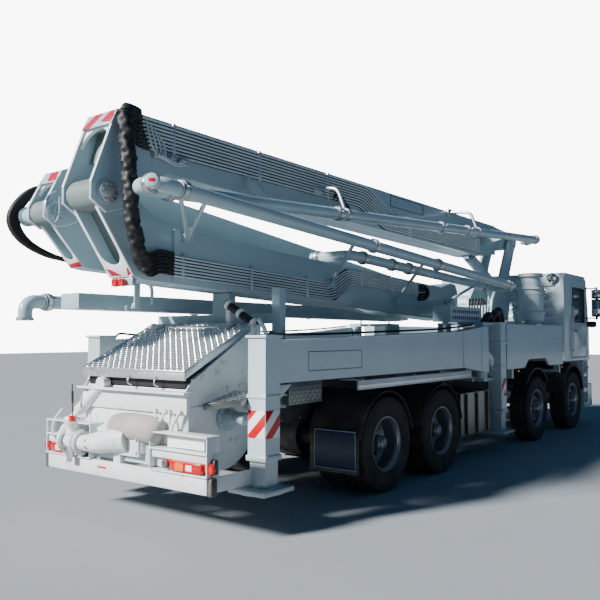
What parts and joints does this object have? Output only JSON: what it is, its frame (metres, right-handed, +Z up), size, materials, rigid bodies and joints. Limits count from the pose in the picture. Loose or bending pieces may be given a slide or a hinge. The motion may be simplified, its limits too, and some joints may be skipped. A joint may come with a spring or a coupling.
{
  "type": "concrete pump truck",
  "caption": "Concrete pump truck with a folding placing boom stowed above its bed, a rear hopper with a lid, side outriggers, twin rear wheels and a short day cab.",
  "frame": {"origin": "on the ground, below the middle of the stowed truck", "axes": "+X forward, +Y to the left side, +Z up"},
  "size_m": [11.22, 2.98, 3.7199],
  "materials": {
    "aluminium": "bright",
    "black_plastic": "matt",
    "body_paint": "satin",
    "cast_iron": "rough",
    "chrome": "polished",
    "frame_paint": "satin",
    "glass": "tinted",
    "interior": "matt",
    "lamp": "gloss",
    "rim": "silver paint",
    "tyre": "matt black"
  },
  "bodies": {
    "truck": {"axles": "cast_iron", "boom_rest": "body_paint", "cab_interior": "interior", "cab_shell": "body_paint", "chassis_frame": "frame_paint", "deck": "aluminium", "engine_block": "cast_iron", "fenders": "black_plastic", "front_end": "body_paint", "hopper": "body_paint", "lamps": "lamp", "mirrors": "black_plastic", "pedestal": "body_paint", "pump_unit": "body_paint", "rear_bumper": "body_paint", "tanks": "aluminium", "windscreen": "glass"},
    "door_left": {"door_left": "body_paint", "door_left_glass": "glass"},
    "rear_outrigger_left": {"rear_outrigger_left": "body_paint"},
    "front_outrigger_left": {"front_outrigger_left": "body_paint"},
    "rear_jack_left": {"rear_jack_left": "body_paint"},
    "front_jack_left": {"front_jack_left": "body_paint"},
    "knuckle_1_left": {"knuckle_1_left": "cast_iron"},
    "knuckle_2_left": {"knuckle_2_left": "cast_iron"},
    "wheel_1_left": {"wheel_1_left_tyre": "tyre", "wheel_1_left_rim": "rim"},
    "wheel_2_left": {"wheel_2_left_tyre": "tyre", "wheel_2_left_rim": "rim"},
    "wheel_3_left": {"wheel_3_left_tyre": "tyre", "wheel_3_left_rim": "rim"},
    "wheel_4_left": {"wheel_4_left_tyre": "tyre", "wheel_4_left_rim": "rim"},
    "door_right": {"door_right": "body_paint", "door_right_glass": "glass"},
    "rear_outrigger_right": {"rear_outrigger_right": "body_paint"},
    "front_outrigger_right": {"front_outrigger_right": "body_paint"},
    "rear_jack_right": {"rear_jack_right": "body_paint"},
    "front_jack_right": {"front_jack_right": "body_paint"},
    "knuckle_1_right": {"knuckle_1_right": "cast_iron"},
    "knuckle_2_right": {"knuckle_2_right": "cast_iron"},
    "wheel_1_right": {"wheel_1_right_tyre": "tyre", "wheel_1_right_rim": "rim"},
    "wheel_2_right": {"wheel_2_right_tyre": "tyre", "wheel_2_right_rim": "rim"},
    "wheel_3_right": {"wheel_3_right_tyre": "tyre", "wheel_3_right_rim": "rim"},
    "wheel_4_right": {"wheel_4_right_tyre": "tyre", "wheel_4_right_rim": "rim"},
    "hopper_cover": {"hopper_cover": "aluminium"},
    "turret": {"turret": "body_paint"},
    "boom_a": {"boom_a": "body_paint", "pipe_a": "body_paint"},
    "boom_b": {"boom_b": "body_paint", "pipe_b": "body_paint"},
    "boom_c": {"boom_c": "body_paint"},
    "boom_d": {"boom_d": "body_paint"},
    "boom_e": {"boom_e": "body_paint"},
    "lift_barrel": {"lift_barrel": "body_paint"},
    "lift_rod": {"lift_rod": "chrome"}
  },
  "joints": [
    {"name": "steer_1_left", "type": "hinge", "parent": "truck", "child": "knuckle_1_left", "pos_m": [4.4, 0.87, 0.52], "axis": [0, 0, 1], "range_deg": [-38, 38]},
    {"name": "spin_1_left", "type": "hinge", "parent": "knuckle_1_left", "child": "wheel_1_left", "pos_m": [4.4, 1.0925, 0.52], "axis": [0, 1, 0], "continuous": true},
    {"name": "steer_2_left", "type": "hinge", "parent": "truck", "child": "knuckle_2_left", "pos_m": [2.45, 0.87, 0.52], "axis": [0, 0, 1], "range_deg": [-38, 38]},
    {"name": "spin_2_left", "type": "hinge", "parent": "knuckle_2_left", "child": "wheel_2_left", "pos_m": [2.45, 1.0925, 0.52], "axis": [0, 1, 0], "continuous": true},
    {"name": "spin_3_left", "type": "hinge", "parent": "truck", "child": "wheel_3_left", "pos_m": [-1.05, 0.9175, 0.52], "axis": [0, 1, 0], "continuous": true},
    {"name": "spin_4_left", "type": "hinge", "parent": "truck", "child": "wheel_4_left", "pos_m": [-2.4, 0.9175, 0.52], "axis": [0, 1, 0], "continuous": true},
    {"name": "door_swing_left", "type": "hinge", "parent": "truck", "child": "door_left", "pos_m": [5.345, 1.2295, 1.9], "axis": [0, 0, -1], "range_deg": [0, 72]},
    {"name": "outrigger_swing_left", "type": "hinge", "parent": "truck", "child": "rear_outrigger_left", "pos_m": [0.54, 1.08, 1.5], "axis": [0, 0, -1], "range_deg": [0, 60]},
    {"name": "outrigger_slide_left", "type": "slide", "parent": "truck", "child": "front_outrigger_left", "axis": [0, 1, 0], "range_m": [0, 1.3]},
    {"name": "rear_jack_drop_left", "type": "slide", "parent": "rear_outrigger_left", "child": "rear_jack_left", "axis": [0, 0, -1], "range_m": [0, 0.33]},
    {"name": "front_jack_drop_left", "type": "slide", "parent": "front_outrigger_left", "child": "front_jack_left", "axis": [0, 0, -1], "range_m": [0, 0.27]},
    {"name": "steer_1_right", "type": "hinge", "parent": "truck", "child": "knuckle_1_right", "pos_m": [4.4, -0.87, 0.52], "axis": [0, 0, 1], "range_deg": [-38, 38]},
    {"name": "spin_1_right", "type": "hinge", "parent": "knuckle_1_right", "child": "wheel_1_right", "pos_m": [4.4, -1.0925, 0.52], "axis": [0, 1, 0], "continuous": true},
    {"name": "steer_2_right", "type": "hinge", "parent": "truck", "child": "knuckle_2_right", "pos_m": [2.45, -0.87, 0.52], "axis": [0, 0, 1], "range_deg": [-38, 38]},
    {"name": "spin_2_right", "type": "hinge", "parent": "knuckle_2_right", "child": "wheel_2_right", "pos_m": [2.45, -1.0925, 0.52], "axis": [0, 1, 0], "continuous": true},
    {"name": "spin_3_right", "type": "hinge", "parent": "truck", "child": "wheel_3_right", "pos_m": [-1.05, -0.9175, 0.52], "axis": [0, 1, 0], "continuous": true},
    {"name": "spin_4_right", "type": "hinge", "parent": "truck", "child": "wheel_4_right", "pos_m": [-2.4, -0.9175, 0.52], "axis": [0, 1, 0], "continuous": true},
    {"name": "door_swing_right", "type": "hinge", "parent": "truck", "child": "door_right", "pos_m": [5.345, -1.2295, 1.9], "axis": [0, 0, 1], "range_deg": [0, 72]},
    {"name": "outrigger_swing_right", "type": "hinge", "parent": "truck", "child": "rear_outrigger_right", "pos_m": [0.54, -1.08, 1.5], "axis": [0, 0, 1], "range_deg": [0, 60]},
    {"name": "outrigger_slide_right", "type": "slide", "parent": "truck", "child": "front_outrigger_right", "axis": [0, -1, 0], "range_m": [0, 1.3]},
    {"name": "rear_jack_drop_right", "type": "slide", "parent": "rear_outrigger_right", "child": "rear_jack_right", "axis": [0, 0, -1], "range_m": [0, 0.33]},
    {"name": "front_jack_drop_right", "type": "slide", "parent": "front_outrigger_right", "child": "front_jack_right", "axis": [0, 0, -1], "range_m": [0, 0.27]},
    {"name": "cover_lift", "type": "hinge", "parent": "truck", "child": "hopper_cover", "pos_m": [-4.05, 0, 1.8], "axis": [0, 1, 0], "range_deg": [0, 32]},
    {"name": "boom_slew", "type": "hinge", "parent": "truck", "child": "turret", "pos_m": [3.35, 0, 1.9], "axis": [0, 0, 1], "range_deg": [-180, 180]},
    {"name": "boom_lift", "type": "hinge", "parent": "turret", "child": "boom_a", "pos_m": [4.05, 0, 3.5], "axis": [0, 1, 0], "range_deg": [0, 90]},
    {"name": "boom_fold_b", "type": "hinge", "parent": "boom_a", "child": "boom_b", "pos_m": [-5.4, 0, 2.94], "axis": [0, 1, 0], "range_deg": [0, 180]},
    {"name": "boom_fold_c", "type": "hinge", "parent": "boom_b", "child": "boom_c", "pos_m": [1.6, 0.655, 2.4], "axis": [0, -1, 0], "range_deg": [0, 180]},
    {"name": "boom_fold_d", "type": "hinge", "parent": "boom_c", "child": "boom_d", "pos_m": [-5.4, 0.655, 2.85], "axis": [0, 1, 0], "range_deg": [0, 180]},
    {"name": "boom_fold_e", "type": "hinge", "parent": "boom_d", "child": "boom_e", "pos_m": [1.25, 0.655, 2.125], "axis": [0, -1, 0], "range_deg": [0, 180]},
    {"name": "lift_tilt", "type": "hinge", "parent": "turret", "child": "lift_barrel", "pos_m": [3.83, 0, 2.6], "axis": [0, 1, 0], "range_deg": [0, 65]},
    {"name": "lift_stroke", "type": "slide", "parent": "lift_barrel", "child": "lift_rod", "axis": [-0.9241, 0, 0.3821], "range_m": [0, 1.0162]}
  ],
  "couplings": [
    {"joint": "steer_1_left", "follows": "steer_1_right", "ratio": 1},
    {"joint": "steer_2_right", "follows": "steer_1_right", "ratio": 0.68},
    {"joint": "steer_2_left", "follows": "steer_1_right", "ratio": 0.68},
    {"joint": "boom_slew", "follows": "boom_lift", "ratio": 0.5},
    {"joint": "boom_fold_b", "follows": "boom_lift", "ratio": 0.33333},
    {"joint": "boom_fold_c", "follows": "boom_lift", "ratio": 0.5},
    {"joint": "boom_fold_d", "follows": "boom_lift", "ratio": 0.1},
    {"joint": "boom_fold_e", "follows": "boom_lift", "ratio": 0.5},
    {"joint": "lift_tilt", "follows": "boom_lift", "ratio": 0.71662},
    {"joint": "lift_stroke", "follows": "boom_lift", "m_per_rad": 0.64567}
  ]
}
